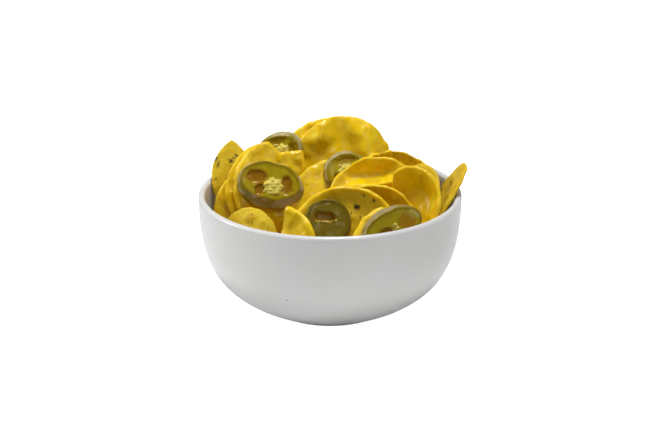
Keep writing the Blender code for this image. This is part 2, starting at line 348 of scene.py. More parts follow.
# Places, facings, curls and breaks are the solids' own. `sauce` is the pour a chip belongs to,
# `depth` its mean coat in mm, `bare` (direction, distance, softness, rim) where the coat stops but for the rim,
# `specks` toasted spots as (along, across, radius), `folds` (along, across, angle, length, width, height),
# `curls` where the rim bends towards the face (direction, spread in degrees, width, height).
chips = {
    "chip_front_lower": dict(at=(-25, -47.8, 56.8), facing=(-35, 21), half=(21, 18),
                             breaks=((-90, 14), (180, 2)), sauce="front", depth=0.9, specks=((14.0, 3.0, 0.8),),
                             curls=((40, 60, 5, 1.6),)),
    "chip_front_right": dict(at=(33.6, -50.9, 51.5), facing=(24, 30), half=(23.5, 24),
                             breaks=((-90, 6), (0, 14)), sauce="front", curls=((115, 60, 6, 1.6),)),
    "chip_front_left": dict(at=(-46, -32, 51.1), facing=(-26, 23), cup=(-2, -2), half=(18, 18),
                            specks=((-12.0, 3.5, 1.2), (2.0, 9.0, 0.6))),
    "chip_front_wide": dict(at=(8.5, -36.6, 52.4), facing=(1, 30), cup=(4, 1), half=(30.5, 29),
                            sauce="front", bare=(28, 3.0, 6.0, 2.8), curls=((58, 60, 7, 3.6), (100, 60, 7, 1.4)),
                            specks=((6.5, 17.9, 1.6), (9.9, 23.2, 0.8), (16, 21.2, 1.1), (8, 12, 0.7))),
    "chip_front_upper": dict(at=(23.2, -26.8, 49.2), facing=(-8, 32), cup=(4, 3), breaks=((-90, 18),),
                             sauce="front", folds=((5, 19.5, -8, 24, 3.6, -4.0),), curls=((80, 80, 5, 7.0),)),
    "chip_right_curled": dict(at=(46, -18, 64.4), facing=(-20, 28), cup=(3, 4), half=(18, 22),
                              breaks=((-90, 16), (175, 13)), sauce="front",
                              folds=((1, 8.5, 10, 15, 6.5, -2.8),), curls=((95, 90, 5, 6.6), (0, 50, 4, 3.4))),
    "chip_right_rear": dict(at=(27, -11.5, 62.2), facing=(2, 35), cup=(-2, 0), sauce="front",
                            folds=((-3, 20.0, 8, 15, 4.4, -4.4), (-1, 12.6, 4, 15, 3.0, 3.4),
                                   (-16, 12, 60, 9, 4, 1.4)), curls=((95, 60, 4, 3.4),)),
    "chip_centre": dict(at=(5.1, -2.2, 58.4), facing=(9, 30), cup=(-2, -1), sauce="front", depth=0.8),
    "chip_left_shard": dict(at=(-21.8, 9.6, 82.4), facing=(16, 19), half=(7.5, 12), breaks=((93, 6),),
                            sauce="left"),
    "chip_left_inner": dict(at=(-26.5, 6.2, 67.3), facing=(18, 17), cup=(-3, -2),
                            breaks=((39, 12.9), (75, 24.5)), sauce="left", curls=((175, 60, 5, 1.6),)),
    "chip_left_middle": dict(at=(-32.8, 7.1, 65.2), facing=(15, 17), cup=(-3, -2), half=(27, 28.4),
                             breaks=((39, 18),), sauce="left", curls=((175, 60, 5, 1.2),)),
    "chip_left_low": dict(at=(-47.4, 5.2, 52.6), facing=(2, 15), cup=(-1.7, -1.2), half=(19.6, 24),
                          breaks=((0, 8),), sauce="left", depth=0.5, curls=((175, 70, 4, 1.6),)),
    "chip_right_bare": dict(at=(46.2, 0.3, 57.6), facing=(-38, 33), cup=(0.5, 0), half=(18, 27),
                            breaks=((-90, 18),), specks=((15.5, 15.6, 0.7),)),
    "chip_right_back": dict(at=(36.2, 13.4, 57.1), facing=(-7, 26), cup=(1, 0), breaks=((-10, 20),),
                            sauce="back", bare=(88, 27.0, 1.5, 0.0),
                            folds=((6, 22.0, -5, 24, 3.6, -3.2), (4, 15.0, -5, 12, 3, 1.6)), curls=((80, 80, 4, 4.0),),
                            specks=((-1.5, 26.9, 1.0), (-2.7, 28.6, 1.5), (9.7, 25.5, 0.8), (21, 21.3, 1.2))),
    "chip_right_leaning": dict(at=(64, 2, 58), facing=(-89, 29), cup=(1.5, 0.5), half=(17, 29),
                               breaks=((-90, 22),), specks=((-16.0, 12.8, 1.1), (-12.0, 6.0, 0.9))),
    "chip_left_outer": dict(at=(-41.2, 15.2, 71.4), facing=(0, 21), cup=(-2, -2), half=(28, 27),
                            breaks=((43, 4),), specks=((-24.0, 9.6, 1.2), (-23.7, 6.7, 0.9),
                                                       (-16.2, 9.6, 1.3), (-12.9, 11.9, 1.1),
                                                       (-14.6, 10.8, 0.9), (-25.0, -0.8, 0.7))),
    "chip_back_tall": dict(at=(8.2, 25.8, 74.7), facing=(7, 17), cup=(-3, -2), wave=(-1.2, 2),
                           sauce="back", depth=0.6,
                           folds=((-13.5, 20, 70, 9, 5.5, 2.6), (15.0, 13, 84, 13, 6.5, 2.4),
                                  (2, 9, 96, 15, 5.5, -2.6), (-16, 4, 35, 10, 5, -1.6)),
                           curls=((70, 80, 6, -1.6),),
                           pits=((-23.7, 11.6, 1.6), (-18.5, 10.3, 1.7), (-13.9, 22.3, 1.5), (-12.1, 25.2, 1.2),
                                 (-24.6, 2.9, 1.3), (-22.2, 5.2, 1.1), (13.7, 20.2, 1.3), (-3.1, 27.4, 1.1))),
    "chip_back_left": dict(at=(-1, 29.5, 71.5), facing=(6, 14), cup=(-2, -2), sauce="back"),
    "chip_rear_upright": dict(at=(2.9, 44.2, 53.9), facing=(180, 11), cup=(-3, -2), sauce="rear"),
    "chip_rear_left": dict(at=(-37.1, 44.4, 62.8), facing=(211, 26), cup=(-3, -2), breaks=((-90, 14),),
                           sauce="rear"),
    "chip_rear_right": dict(at=(30, 49.5, 52.9), facing=(155, 18), cup=(-3, -2), breaks=((-90, 14),),
                            sauce="rear", bare=(200, 8.0, 5.0, 0.0)),
    "chip_rear_middle": dict(at=(7.2, 59.9, 65.2), facing=(173, 37), cup=(-3, -1), breaks=((-90, 12),),
                             sauce="rear"),
}

chipLook = {
    "half": (29.0, 29.0), "skin": 0.95, "columns": 108, "frontRows": 22, "backRows": 14, "rimSteps": 7,
    "bend": 0.35, "ruffle": 0.12, "edge": 0.3, "blisters": 13, "blisterHeight": 0.75,
    "pale": (0.76, 0.545, 0.024), "gold": (0.69, 0.44, 0.003), "toast": (0.45, 0.21, 0.003),
    "scorch": (0.035, 0.018, 0.006), "roughness": 0.5, "tint": (1.0, 0.85, 0.35),
}
chipSeeds = {name: 11 * (number + 1) for number, name in enumerate(chips)}


def chipHalf(chip):
    return chip.get("half", chipLook["half"])


# An ellipse cut by straight breaks, with an uneven edge.
def chipReach(chip, angle, seed):
    half = chipHalf(chip)
    reach = 1 / np.hypot(np.cos(angle) / half[0], np.sin(angle) / half[1])
    for towards, distance in chip.get("breaks", ()):
        reach = np.minimum(reach, distance / np.maximum(np.cos(angle - math.radians(towards)), 0.05))
    rim = 29.0 * np.stack((np.cos(angle), np.sin(angle)), -1)
    uneven = 0.65 * ripples(rim, 12.0, seed) + 0.35 * ripples(rim, 3.5, seed + 1)
    return reach - chipLook["edge"] * (0.6 + 0.5 * uneven)


# The solid's curl and wave, the chip's own bends and the folds that show.
def chipMiddle(chip, u, v, seed):
    half, cup, wave = chipHalf(chip), chip.get("cup", (0, 0)), chip.get("wave", (0.0, 0.0))
    w = cup[0] * (u / half[0]) ** 2 + cup[1] * (v / half[1]) ** 2
    w = w + wave[0] * np.cos(math.pi * wave[1] * u / half[0])
    place = np.stack((u, v), -1)
    w = w + chipLook["bend"] * ripples(place, 26.0, seed + 2)
    w = w + chipLook["ruffle"] * ripples(place, 8.0, seed + 3)
    turned, near = np.arctan2(v, u), np.hypot(u, v) / chipReach(chip, np.arctan2(v, u), seed)
    for towards, spread, width, height in chip.get("curls", ()):
        beside = np.angle(np.exp(1j * (turned - math.radians(towards)))) / math.radians(spread)
        w = w + height * np.exp(-(beside**2)) * ease(near, 1 - 2 * width / half[0], 1.06)
    for along, across, angle, length, width, height in chip.get("folds", ()):
        c, s = math.cos(math.radians(angle)), math.sin(math.radians(angle))
        x, y = (u - along) * c + (v - across) * s, (v - across) * c - (u - along) * s
        w = w + height * np.exp(-((y / width) ** 2) - (x / length) ** 4)
    return w


# Seeded blister places: (along, across, radius, height).
def blistersOf(chip, seed, side):
    random = np.random.default_rng(seed * 2 + side)
    half, count = chipHalf(chip), chipLook["blisters"]
    far, angle = np.sqrt(random.uniform(0, 0.92, count)), random.uniform(0, math.tau, count)
    size = random.uniform(1.6, 5.2, count)
    height = chipLook["blisterHeight"] * random.uniform(0.35, 1.0, count) * size / 4.5
    return list(zip(far * half[0] * np.cos(angle), far * half[1] * np.sin(angle), size, height))


# A skin over the front, round the rim and across the back. `frontLift` and `backLift` (along, across)
# give what lies on each side in mm; nothing for the chip itself.
def chipShell(name, chip, frontLift=None, backLift=None, scale=1.0, skin=None):
    seed, skin = chipSeeds[name], skin or chipLook["skin"]
    columns = int(chipLook["columns"] * scale)
    angle = np.arange(columns) / columns * math.tau
    reach = chipReach(chip, angle, seed)
    front = np.linspace(0.03, 1, int(chipLook["frontRows"] * scale)) ** 0.9
    back = np.linspace(1, 0.03, int(chipLook["backRows"] * scale)) ** 0.9
    turn = np.linspace(0, math.pi, chipLook["rimSteps"])[1:-1]
    share = np.concatenate((front, np.ones(len(turn)), back))[:, None]
    side = np.concatenate((np.ones(len(front)), np.cos(turn), -np.ones(len(back))))[:, None]
    bulge = np.concatenate((np.zeros(len(front)), np.sin(turn), np.zeros(len(back))))[:, None]
    flat = share * (reach - skin)
    u, v = flat * np.cos(angle), flat * np.sin(angle)
    blister = domes(u, v, blistersOf(chip, seed, 0))
    blisterBack = domes(u, v, blistersOf(chip, seed, 1))
    inner = 1 - ease(share, 0.9, 1.0)
    thick = skin * (1 - 0.12 * share**4)
    lift = thick + np.where(side > 0, blister, blisterBack) * inner
    if frontLift:
        mix = (side + 1) / 2
        lift = lift + mix * frontLift(u, v) + (1 - mix) * backLift(u, v)
    middle = chipMiddle(chip, u, v, seed)
    radial = flat + bulge * lift
    w = middle + side * lift
    grid = toWorld(chip, radial * np.cos(angle), radial * np.sin(angle), w)
    return grid, u, v, share + 0 * u, side + 0 * u, blister


# How dark each spot is: an uneven edge round each toasted place.
def scorchOf(name, chip, u, v, side):
    seed = chipSeeds[name]
    random = np.random.default_rng(seed + 77)
    half = chipHalf(chip)
    count = 9
    angle, far = random.uniform(0, math.tau, count), np.sqrt(random.uniform(0.0, 0.95, count))
    small = zip(far * half[0] * np.cos(angle), far * half[1] * np.sin(angle), random.uniform(0.3, 0.65, count))
    spots = list(chip.get("specks", ())) + list(small)
    place = np.stack((u, v), -1)
    uneven = 0.35 * ripples(place, 1.3, seed + 5)
    total = np.zeros_like(u)
    for su, sv, radius in spots:
        distance = np.hypot(u - su, v - sv) / radius
        total = np.maximum(total, 1 - ease(distance + uneven, 0.55, 1.25))
    return total * (side > -0.5)


def makeChip(name):
    chip = chips[name]
    grid, u, v, share, side, blister = chipShell(name, chip)
    attributes = {
        "scorch": withPoles(scorchOf(name, chip, u, v, side)),
        "blister": withPoles(blister),
        "rim": withPoles(ease(share, 0.82, 1.0)),
    }
    return gridMesh("fine_" + name, [grid], attributes=attributes)


def cornMaterial():
    made, tree, shader = newMaterial("toastedCorn")
    texture = addGrain(tree, 1.9, 0.55, 0.63)
    scorch, blister, rim = (readAttribute(tree, key) for key in ("scorch", "blister", "rim"))
    place = addNode(tree, "ShaderNodeTexCoord").outputs["Object"]
    cloud = between(tree, texture.outputs["Cloud"], 0.35, 0.68)
    colour = mixColour(tree, cloud, chipLook["pale"], chipLook["gold"])
    fleck = between(tree, noise(tree, place, 0.9, 3.0), 0.52, 0.74)
    colour = mixColour(tree, fleck, colour, chipLook["gold"])
    colour = mixColour(tree, between(tree, blister, 0.15, 0.9, 0.0, 0.45), colour, chipLook["toast"])
    freckle = calculate(tree, "MULTIPLY", texture.outputs["Spots"], 0.55)
    colour = mixColour(tree, freckle, colour, chipLook["toast"])
    # The band along each chip's edge is mixed towards pale: a painted highlight for rims that catch the light.
    colour = mixColour(tree, calculate(tree, "MULTIPLY", rim, 0.35), colour, chipLook["pale"])
    colour = mixColour(tree, scorch, colour, chipLook["scorch"])
    tree.links.new(colour, shader.inputs["Base Color"])
    shader.inputs["Roughness"].default_value = chipLook["roughness"]
    shader.inputs["Specular Tint"].default_value = (*chipLook["tint"], 1.0)
    shader.inputs["Subsurface Weight"].default_value = 0.12
    shader.inputs["Subsurface Radius"].default_value = (0.9, 0.5, 0.15)
    shader.inputs["Subsurface Scale"].default_value = 1.2 * mm
    pores = noise(tree, place, 0.7, 4.0, 0.6)
    height = calculate(tree, "ADD", texture.outputs["Height"], calculate(tree, "MULTIPLY", pores, 1.6))
    addBump(tree, shader, height, 0.22)
    return made


corn = cornMaterial()
for name in chips:
    addPiece("fine_" + name, makeChip(name), corn, "chip", name)
print("chips made")


sauce = {
    "depth": 0.66, "uneven": 0.32, "lumps": 0.13, "runs": 0.14, "hidden": -0.62, "overRim": 3.6,
    "inset": 0.55, "voxel": 0.62, "smooth": 5, "keep": 0.5,
    "colour": (0.88, 0.60, 0.001), "deep": (0.79, 0.505, 0.0005), "light": (0.92, 0.69, 0.04),
    "thin": (0.52, 0.24, 0.002), "bead": 0.38, "roughness": 0.30, "tint": (1.0, 0.93, 0.80),
}


# Coat on the face in mm: a mean depth, slow unevenness and runs down the chip, less in pits and past
# the edge of the bare part.
def frontCoat(name):
    chip, seed = chips[name], chipSeeds[name] + 500

    def coat(u, v):
        place = np.stack((u, v), -1)
        depth = chip.get("depth", sauce["depth"]) + sauce["uneven"] * ripples(place, 15.0, seed)
        depth = depth + sauce["lumps"] * ripples(place, 6.5, seed + 4)
        depth = depth + sauce["runs"] * ripples(np.stack((u, 0.3 * v), -1), 6.0, seed + 1)
        depth = np.clip(depth, 0.32, 1.35)
        inwards = chipReach(chip, np.arctan2(v, u), chipSeeds[name]) - np.hypot(u, v)
        depth = depth + sauce["bead"] * np.exp(-(((inwards - 1.6) / 1.3) ** 2))
        for pu, pv, radius in chip.get("pits", ()):
            distance = np.hypot(u - pu, v - pv) / radius + 0.3 * ripples(place, 2.5, seed + 2)
            depth = depth - 0.7 * (1 - ease(distance, 0.2, 1.5))
        if "bare" in chip:
            towards, distance, softness, coated = chip["bare"]
            towards = math.radians(towards)
            past = u * math.cos(towards) + v * math.sin(towards) - distance + 2.2 * ripples(place, 11.0, seed + 3)
            past = past - 30 * (1 - ease(inwards, 0.6 * coated, 1.4 * coated + 0.01)) * (coated > 0)
            depth = depth + (sauce["hidden"] - depth) * ease(past, -softness / 2, softness / 2)
        return depth

    return coat


# Coat on the back in mm: a strip that hangs over the rim, deepest at the top.
def backCoat(name):
    chip, seed = chips[name], chipSeeds[name] + 600

    def coat(u, v):
        place = np.stack((u, v), -1)
        reach = chipReach(chip, np.arctan2(v, u), chipSeeds[name])
        inwards = reach - np.hypot(u, v)
        strip = sauce["overRim"] * (1 + 0.55 * ripples(place, 9.0, seed)) * (0.75 + 0.5 * ease(v, -15, 20))
        return sauce["hidden"] + (0.42 - sauce["hidden"]) * (1 - ease(inwards, strip - 1.2, strip + 1.2))

    return coat


# Each point of a pour takes the coat's depth from the chip whose middle layer is nearest.
def coatAttribute(mesh, names):
    points = pointsOf(mesh)
    best, depth = np.full(len(points), 1e9), np.full(len(points), 0.6)
    for name in names:
        chip = chips[name]
        u, v, w = toLocal(chip, points)
        half = chipHalf(chip)
        outside = np.maximum(np.hypot(u / half[0], v / half[1]) - 1.03, 0) * 40
        away = np.abs(w - chipMiddle(chip, u, v, chipSeeds[name])) + outside
        here = away < best
        depth[here] = frontCoat(name)(u[here], v[here])
        best = np.minimum(best, away)
    setAttribute(mesh, "coat", depth)


def sauceMaterial():
    made, tree, shader = newMaterial("cheeseSauce")
    texture = addGrain(tree, 1.1, 0.5, 0.6)
    coat = readAttribute(tree, "coat")
    place = addNode(tree, "ShaderNodeTexCoord").outputs["Object"]
    cloud = between(tree, texture.outputs["Cloud"], 0.3, 0.7)
    colour = mixColour(tree, cloud, sauce["deep"], sauce["colour"])
    streak = between(tree, noise(tree, place, 0.16, 3.0), 0.45, 0.75)
    colour = mixColour(tree, calculate(tree, "MULTIPLY", streak, 0.6), colour, sauce["light"])
    # Where the coat is thin, patches of the chip's toasted brown show through; on the core the same brown is painted
    # shade.
    thin = between(tree, coat, 0.12, -0.3)
    patch = calculate(tree, "MULTIPLY", thin, between(tree, noise(tree, place, 0.5, 3.0), 0.35, 0.6))
    colour = mixColour(tree, patch, colour, sauce["thin"])
    tree.links.new(colour, shader.inputs["Base Color"])
    rough = between(tree, noise(tree, place, 0.25, 2.0), 0.3, 0.7, sauce["roughness"] - 0.06,
                    sauce["roughness"] + 0.1)
    tree.links.new(rough, shader.inputs["Roughness"])
    shader.inputs["Subsurface Weight"].default_value = 0.3
    shader.inputs["Subsurface Radius"].default_value = (1.0, 0.55, 0.12)
    shader.inputs["Subsurface Scale"].default_value = 1.8 * mm
    shader.inputs["IOR"].default_value = 1.45
    shader.inputs["Specular Tint"].default_value = (*sauce["tint"], 1.0)
    height = calculate(tree, "ADD", texture.outputs["Height"],
                       calculate(tree, "MULTIPLY", noise(tree, place, 0.35, 2.0), 2.0))
    addBump(tree, shader, height, 0.09)
    return made


cheese = sauceMaterial()
for pour in ("front", "left", "back", "rear"):
    names = [name for name in chips if chips[name].get("sauce") == pour]
    shells = [chipShell(name, chips[name],
                        lambda u, v, f=frontCoat(name): f(u, v) + sauce["inset"],
                        lambda u, v, f=backCoat(name): f(u, v) + sauce["inset"])[0] for name in names]
    poured = fuse(gridMesh("sauce_" + pour, shells), sauce["voxel"], sauce["inset"],
                  sauce["smooth"], sauce["keep"])
    coatAttribute(poured, names)
    addPiece("sauce_" + pour, poured, cheese, "cheese")
    print("sauce", pour, len(poured.polygons), "faces")


# Places, facings and outlines are the solids' own. `skin` is (direction, narrowest, widest) of the band
# of skin that shows on the face side, `holes` the chambers as (along, across, half length, half width,
# angle, floor) with their floor in mm above the slice's middle, open if it is None, `heart` the pale
# seed core as (along, across, half length, half width), `dark` how green and deep the flesh is, `seeds`
# how many loose seeds there are, `amber` how strongly the chambers are coloured.
slices = {
    "jalapeno_front": dict(
        at=(-1.2, -37.4, 63.3), facing=(8, 34), half=(13.5, 13), skin=(-90, 0.7, 1.6), dark=0.88, seeds=0,
        holes=((-1.8, 2.5, 5.6, 2.9, -8, -0.8),), heart=(-1.6, 0.1, 4.6, 0.8)),
    "jalapeno_right": dict(
        at=(33.4, -50.9, 65.7), facing=(16, 36), half=(19, 11.5), turn=22, skin=(75, 0.8, 3.2), dark=0.45, seeds=0,
        holes=((8.4, -1.8, 4.2, 3.8, 0, None), (-6.0, -1.8, 4.6, 2.7, 0, 0.2)), heart=(1.2, -1.4, 1.6, 1.6)),
    "jalapeno_left": dict(
        at=(-34, -2, 72.6), facing=(3, 27), half=(19.5, 13.5), turn=-12, skin=(-82, 0.7, 5.2), dark=0.0,
        holes=((-8.2, 2.9, 5.8, 3.9, 6, 0.5), (9.4, 1.2, 3.0, 4.8, 8, 0.6), (-5.4, -4.2, 2.6, 3.2, -20, 0.5)),
        heart=(2.0, -1.2, 5.6, 5.0)),
    "jalapeno_middle": dict(
        at=(10, 5.7, 78.3), facing=(7, 33), half=(13.5, 12.5), skin=(60, 0.9, 3.2), dark=0.1, amber=0.45,
        holes=((-0.4, 5.4, 5.8, 2.2, 5, 0.6), (5.8, -0.6, 2.2, 3.4, 0, 0.6), (-5.6, -4.4, 2.3, 3.0, 0, 0.4)),
        heart=(-0.6, -0.4, 5.0, 3.6)),
    "jalapeno_back": dict(
        at=(-28.6, 23.7, 84.2), facing=(4, 18), half=(13.7, 11.5), turn=20, skin=(15, 0.7, 3.4), dark=0.0, amber=0.3,
        holes=((0.8, 5.8, 4.8, 2.2, 0, 0.8), (6.2, -1.6, 2.0, 3.4, 0, 0.8)), heart=(0.4, 0.4, 4.6, 3.2)),
    "jalapeno_rear_left": dict(
        at=(-34.4, 45.8, 72.2), facing=(210, 30), half=(15, 13), turn=10, skin=(-100, 0.8, 3.6), dark=0.1,
        holes=((-5.8, 3.0, 3.8, 3.6, 20, None), (6.6, 2.6, 2.8, 3.8, 10, -0.8), (0.6, -6.4, 3.6, 2.0, 0, -0.8)),
        heart=(0.4, -0.4, 4.2, 3.8)),
    "jalapeno_rear_right": dict(
        at=(14, 57.9, 73), facing=(168, 38), half=(14, 12), turn=30, skin=(-70, 0.8, 2.6), dark=0.35,
        holes=((-6.2, 0.6, 3.2, 4.6, 0, None), (6.2, -0.4, 3.0, 4.4, 0, -0.8)), heart=(0.2, 0.2, 3.2, 4.4)),
}
sliceLook = {
    "thickness": 4.4, "voxel": 0.27, "columns": 180, "rows": 48, "uneven": 0.012, "seeds": 3,
    "seedSize": (1.5, 1.15, 0.4),
    # The pale grey skin colour is the skin's olive lightened by painted reflection of its wet sheen.
    "skinWithSheen": (0.47, 0.39, 0.23), "skinDark": (0.30, 0.235, 0.02), "under": (0.28, 0.20, 0.001),
    "flesh": (0.43, 0.325, 0.003), "inner": (0.30, 0.135, 0.0008), "heartColour": (0.76, 0.65, 0.12),
    "deep": (0.12, 0.082, 0.0003), "seed": (0.74, 0.60, 0.18), "roughness": 0.24, "tint": (1.0, 0.93, 0.55),
}


# How far a slice's edge is from its centre at each angle.
def sliceReach(values, angle, seed):
    half = values["half"]
    rim = 13.0 * np.stack((np.cos(angle), np.sin(angle)), -1)
    uneven = 1 + sliceLook["uneven"] * (ripples(rim, 11.0, seed) - 0.6)
    return uneven / np.hypot(np.cos(angle) / half[0], np.sin(angle) / half[1])


# Distance in mm inside an ellipse's edge, below nought outside it.
def insideEllipse(u, v, along, across, length, width, angle=0.0):
    c, s = math.cos(math.radians(angle)), math.sin(math.radians(angle))
    x, y = (u - along) * c + (v - across) * s, (v - across) * c - (u - along) * s
    scaled = np.hypot(x / length, y / width)
    slope = np.hypot(x / length**2, y / width**2)
    return scaled * (1 - scaled) / np.maximum(slope, 1e-6) * (scaled > 0.02) + min(length, width) * (scaled <= 0.02)


# Distance from the edge, the width of the band of skin, and how far inside a chamber and the heart.
def sliceFields(values, u, v, seed):
    half, place, turned = values["half"], np.stack((u, v), -1), np.arctan2(v, u)
    inwards = sliceReach(values, turned, seed) - np.hypot(u, v)
    direction, narrow, wide = values["skin"]
    towards = np.cos(np.arctan2(v / half[1], u / half[0]) - math.radians(direction))
    band = narrow + (wide - narrow) * ease(towards + 0.12 * ripples(place, 14.0, seed + 4), -1.0, 0.95)
    hole = np.max([insideEllipse(u, v, *chamber[:5]) for chamber in values["holes"]], axis=0)
    hole = hole + 0.3 * ripples(place, 4.5, seed + 7)
    heart = insideEllipse(u, v, *values["heart"]) + 0.5 * ripples(place, 3.4, seed + 11)
    return inwards, band, hole, heart


# A slab whose face is level inside the band of skin, which slopes down to the back edge. The flesh
# sinks a little towards the chambers and the heart stands proud with small ridges.
def sliceGrid(values, seed):
    t = sliceLook["thickness"] / 2
    angle = np.arange(sliceLook["columns"]) / sliceLook["columns"] * math.tau
    share = np.linspace(0.01, 1.0, sliceLook["rows"])[:, None] ** 0.8
    reach = sliceReach(values, angle, seed)
    u, v = share * reach * np.cos(angle), share * reach * np.sin(angle)
    inwards, band, hole, heart = sliceFields(values, u, v, seed)
    place = np.stack((u, v), -1)
    rise = 1 - (1 - np.clip(inwards / band, 0, 1)) ** 1.6
    front = -t + 2 * t * rise - 0.4 * ease(inwards - band, 0.0, 2.5) - 0.35 * ease(hole, -1.6, 0.0)
    front = front + 0.05 * ripples(place, 7.0, seed + 20) * rise + 0.8 * ease(heart, -0.3, 1.6)
    front = front + 0.16 * ripples(place * (0.55, 1.0), 1.9, seed + 21) * ease(heart, -0.2, 0.8)
    back = -t + 0.05 * ripples(place, 6.0, seed + 22) + 0.35 * (1 - ease(inwards, 0.0, 0.5))
    front = np.maximum(front, back + 0.02)
    return np.concatenate((toWorld(values, u, v, front), toWorld(values, u, v, back)[::-1]))


# What a chamber takes away: a rounded pit or a hole right through, a little wider at the face.
def chamberGrid(values, hole, seed):
    along, across, length, width, angle, floor = hole
    low = -5.0 if floor is None else floor
    deep = np.array((0.0, 0.25, 0.8, 1.6, 6.0))[:, None]
    wide = np.array((0.55, 0.82, 0.95, 1.0, 1.12))[:, None] if floor is not None else np.ones((5, 1))
    around = np.arange(64) / 64 * math.tau
    edge = 1 + 0.07 * ripples(3.0 * np.stack((np.cos(around), np.sin(around)), -1), 5.0, seed)
    x, y = wide * edge * length * np.cos(around), wide * edge * width * np.sin(around)
    c, s = math.cos(math.radians(angle)), math.sin(math.radians(angle))
    return toWorld(values, along + x * c - y * s, across + x * s + y * c, low + deep + 0 * x)[::-1]


def makeSlice(name, seed):
    values = slices[name]
    cutter = gridMesh("chambers", [chamberGrid(values, hole, seed + 50 + number)
                                   for number, hole in enumerate(values["holes"])])
    flesh = fuse(gridMesh("fine_" + name, [sliceGrid(values, seed)]), sliceLook["voxel"], 0.0, 4, 0.6, cutter)
    u, v, w = toLocal(values, pointsOf(flesh))
    inwards, band, hole, heart = sliceFields(values, u, v, seed)
    facing = w > -sliceLook["thickness"] / 2 + 0.7
    setAttribute(flesh, "skin", 1 - ease(inwards / np.where(facing, band, 0.7), 0.72, 1.0))
    setAttribute(flesh, "inwards", inwards - band)
    setAttribute(flesh, "hole", ease(hole, -1.3, 0.2) * values.get("amber", 1.0))
    setAttribute(flesh, "heart", ease(heart, -0.35, 0.5) * (w > 0))
    setAttribute(flesh, "dark", np.full(len(u), values["dark"]))
    return flesh


# A flattened round seed.
def seedGrid(values, centre, size, angle, tilt):
    polar = np.linspace(0.15, math.pi - 0.15, 9)[:, None]
    around = np.arange(14) / 14 * math.tau
    x, y = size[0] * np.sin(polar) * np.cos(around), size[1] * np.sin(polar) * np.sin(around)
    z = size[2] * np.cos(polar) + 0 * around
    z, x = z * math.cos(tilt) - x * math.sin(tilt), x * math.cos(tilt) + z * math.sin(tilt)
    c, s = math.cos(angle), math.sin(angle)
    return toWorld(values, centre[0] + x * c - y * s, centre[1] + x * s + y * c, centre[2] + z)


# Seeds lie round the heart's edge, each turned its own way.
def seedGrids(name, seed):
    values, random = slices[name], np.random.default_rng(seed + 40)
    along, across, length, width = values["heart"]
    grids = []
    for number in range(values.get("seeds", sliceLook["seeds"])):
        angle, far = random.uniform(0, math.tau), random.uniform(0.55, 1.0)
        centre = (along + length * far * math.cos(angle), across + width * far * math.sin(angle),
                  random.uniform(1.2, 2.1))
        size = [s * random.uniform(0.8, 1.1) for s in sliceLook["seedSize"]]
        grids.append(seedGrid(values, centre, size, random.uniform(0, math.tau), random.uniform(-0.6, 0.6)))
    return grids


def pepperMaterial():
    made, tree, shader = newMaterial("pickledPepper")
    texture = addGrain(tree, 0.9, 0.6, 0.6)
    skin, inwards, hole, heart, dark = (readAttribute(tree, key)
                                        for key in ("skin", "inwards", "hole", "heart", "dark"))
    place = addNode(tree, "ShaderNodeTexCoord").outputs["Object"]
    waver = calculate(tree, "ADD", inwards, calculate(tree, "MULTIPLY", noise(tree, place, 0.3, 2.0), 1.2))
    colour = mixColour(tree, between(tree, waver, 0.6, 3.4), sliceLook["under"], sliceLook["flesh"])
    blotch = between(tree, noise(tree, place, 0.22, 3.0), 0.45, 0.7, 0.0, 0.3)
    colour = mixColour(tree, blotch, colour, sliceLook["under"])
    colour = mixColour(tree, calculate(tree, "MULTIPLY", hole, 0.92), colour, sliceLook["inner"])
    colour = mixColour(tree, heart, colour, sliceLook["heartColour"])
    # The skin is dark olive in patches and elsewhere a pale lavender grey that stands for the wet skin's sheen at a
    # glancing angle: partly the skin's own colour, partly painted reflection.
    bloom = mixColour(tree, between(tree, noise(tree, place, 0.12, 2.0), 0.4, 0.62), sliceLook["skinWithSheen"],
                      sliceLook["skinDark"])
    colour = mixColour(tree, skin, colour, bloom)
    share = calculate(tree, "MULTIPLY", dark, between(tree, hole, 0.2, 1.0, 1.0, 0.35))
    colour = mixColour(tree, share, colour, sliceLook["deep"])
    tree.links.new(colour, shader.inputs["Base Color"])
    shader.inputs["Roughness"].default_value = sliceLook["roughness"]
    shader.inputs["Specular Tint"].default_value = (*sliceLook["tint"], 1.0)
    shader.inputs["Subsurface Weight"].default_value = 0.2
    shader.inputs["Subsurface Radius"].default_value = (1.0, 0.9, 0.3)
    shader.inputs["Subsurface Scale"].default_value = 1.2 * mm
    shader.inputs["Specular IOR Level"].default_value = 0.35
    addBump(tree, shader, texture.outputs["Height"], 0.07)
    return made


def seedMaterial():
    made, tree, shader = newMaterial("pepperSeed")
    place = addNode(tree, "ShaderNodeTexCoord").outputs["Object"]
    shade = tuple(c * 0.72 for c in sliceLook["seed"])
    colour = mixColour(tree, between(tree, noise(tree, place, 0.6, 2.0), 0.35, 0.7), sliceLook["seed"], shade)
    tree.links.new(colour, shader.inputs["Base Color"])
    shader.inputs["Roughness"].default_value = 0.35
    addBump(tree, shader, noise(tree, place, 1.2, 2.0), 0.08)
    return made


pepper = pepperMaterial()
seeds = []
for number, name in enumerate(slices):
    addPiece("fine_" + name, makeSlice(name, 300 + 9 * number), pepper, "jalapeno", name)
    seeds += seedGrids(name, 300 + 9 * number)
addPiece("pepper_seeds", gridMesh("pepper_seeds", seeds), seedMaterial(), "jalapeno")
print("slices made")


beneath = {
    "count": 30, "halves": (27.0, 22.0, 17.0, 13.0), "lean": (45, 85), "top": 11.0, "spread": 50.0, "lowest": 22.0, "rows": 26, "columns": 72, "lump": 1.1,
    "clear": 0.6,
}
hidden = pointsOf(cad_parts["chips_beneath"].data)
hiddenTop = hidden[hidden[:, 2] > 30.0]


